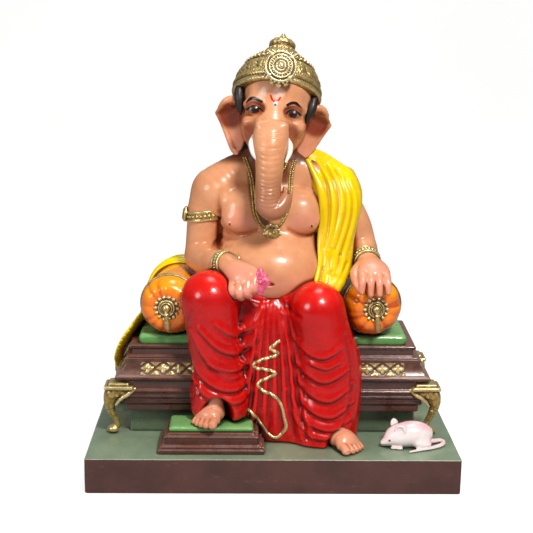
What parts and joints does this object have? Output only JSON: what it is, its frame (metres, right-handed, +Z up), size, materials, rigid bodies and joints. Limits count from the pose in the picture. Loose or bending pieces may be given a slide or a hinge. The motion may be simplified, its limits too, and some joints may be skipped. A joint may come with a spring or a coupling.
{
  "type": "ganesha idol",
  "caption": "Seated elephant-headed deity idol on a moulded throne with bolsters, a footstool and a mouse, for a home shrine.",
  "frame": {"origin": "centre of the flat underside of the base slab", "axes": "+Z up; the figure faces -Y; +X is to the viewer's right"},
  "size_m": [0.3, 0.18, 0.3598],
  "materials": {
    "brown_paint": "gloss enamel over a cast body, worn at the edges",
    "plinth_paint": "satin dark green paint",
    "green_paint": "gloss enamel",
    "orange_paint": "gloss enamel, shaded darker in the folds",
    "gold_paint": "metallic gold paint, antiqued brown in the recesses",
    "skin_paint": "airbrushed and varnished",
    "red_paint": "gloss enamel, shaded dark in the folds",
    "yellow_paint": "gloss enamel, ochre in the folds",
    "ivory_paint": "gloss",
    "black_paint": "satin",
    "jewel_paint": "gloss, with a teal centre",
    "pink_paint": "gloss",
    "mouse_paint": "gloss white tinted pink"
  },
  "bodies": {
    "root": {"base_slab": "brown_paint", "plinth_block": "plinth_paint", "lower_moulding": "brown_paint", "frieze": "brown_paint", "frieze_quatrefoils": "gold_paint", "cornice": "brown_paint", "throne_foot_front_left": "gold_paint", "throne_foot_front_right": "gold_paint", "throne_foot_back_left": "gold_paint", "throne_foot_back_right": "gold_paint", "seat_cushion": "green_paint", "bolster_left": "orange_paint", "bolster_right": "orange_paint", "bolster_bands": "gold_paint", "rosette_left": "gold_paint", "rosette_right": "gold_paint", "tassel_left": "gold_paint", "tassel_right": "gold_paint", "footstool_base": "brown_paint", "footstool_cushion": "green_paint", "torso": "skin_paint", "dhoti_waist": "red_paint", "dhoti_leg_left": "red_paint", "dhoti_leg_right": "red_paint", "dhoti_pleats": "red_paint", "dhoti_gold_hem": "gold_paint", "arm_left": "skin_paint", "arm_right": "skin_paint", "hand_left": "skin_paint", "hand_right": "skin_paint", "foot_left": "skin_paint", "foot_right": "skin_paint", "head": "skin_paint", "trunk": "skin_paint", "ear_left": "skin_paint", "ear_right": "skin_paint", "tusk_left": "ivory_paint", "tusk_right": "ivory_paint", "hair": "black_paint", "crown_rim": "gold_paint", "crown_dome": "gold_paint", "crown_medallion": "gold_paint", "forehead_jewel": "jewel_paint", "long_necklace": "gold_paint", "short_necklace": "gold_paint", "pendant": "gold_paint", "armlet": "gold_paint", "bracelet_left": "gold_paint", "bracelet_right": "gold_paint", "flower": "pink_paint", "shawl_front": "yellow_paint", "shawl_back": "yellow_paint", "shawl_tail": "yellow_paint", "mouse_body": "mouse_paint", "mouse_ears": "mouse_paint", "mouse_tail": "mouse_paint"}
  },
  "joints": []
}
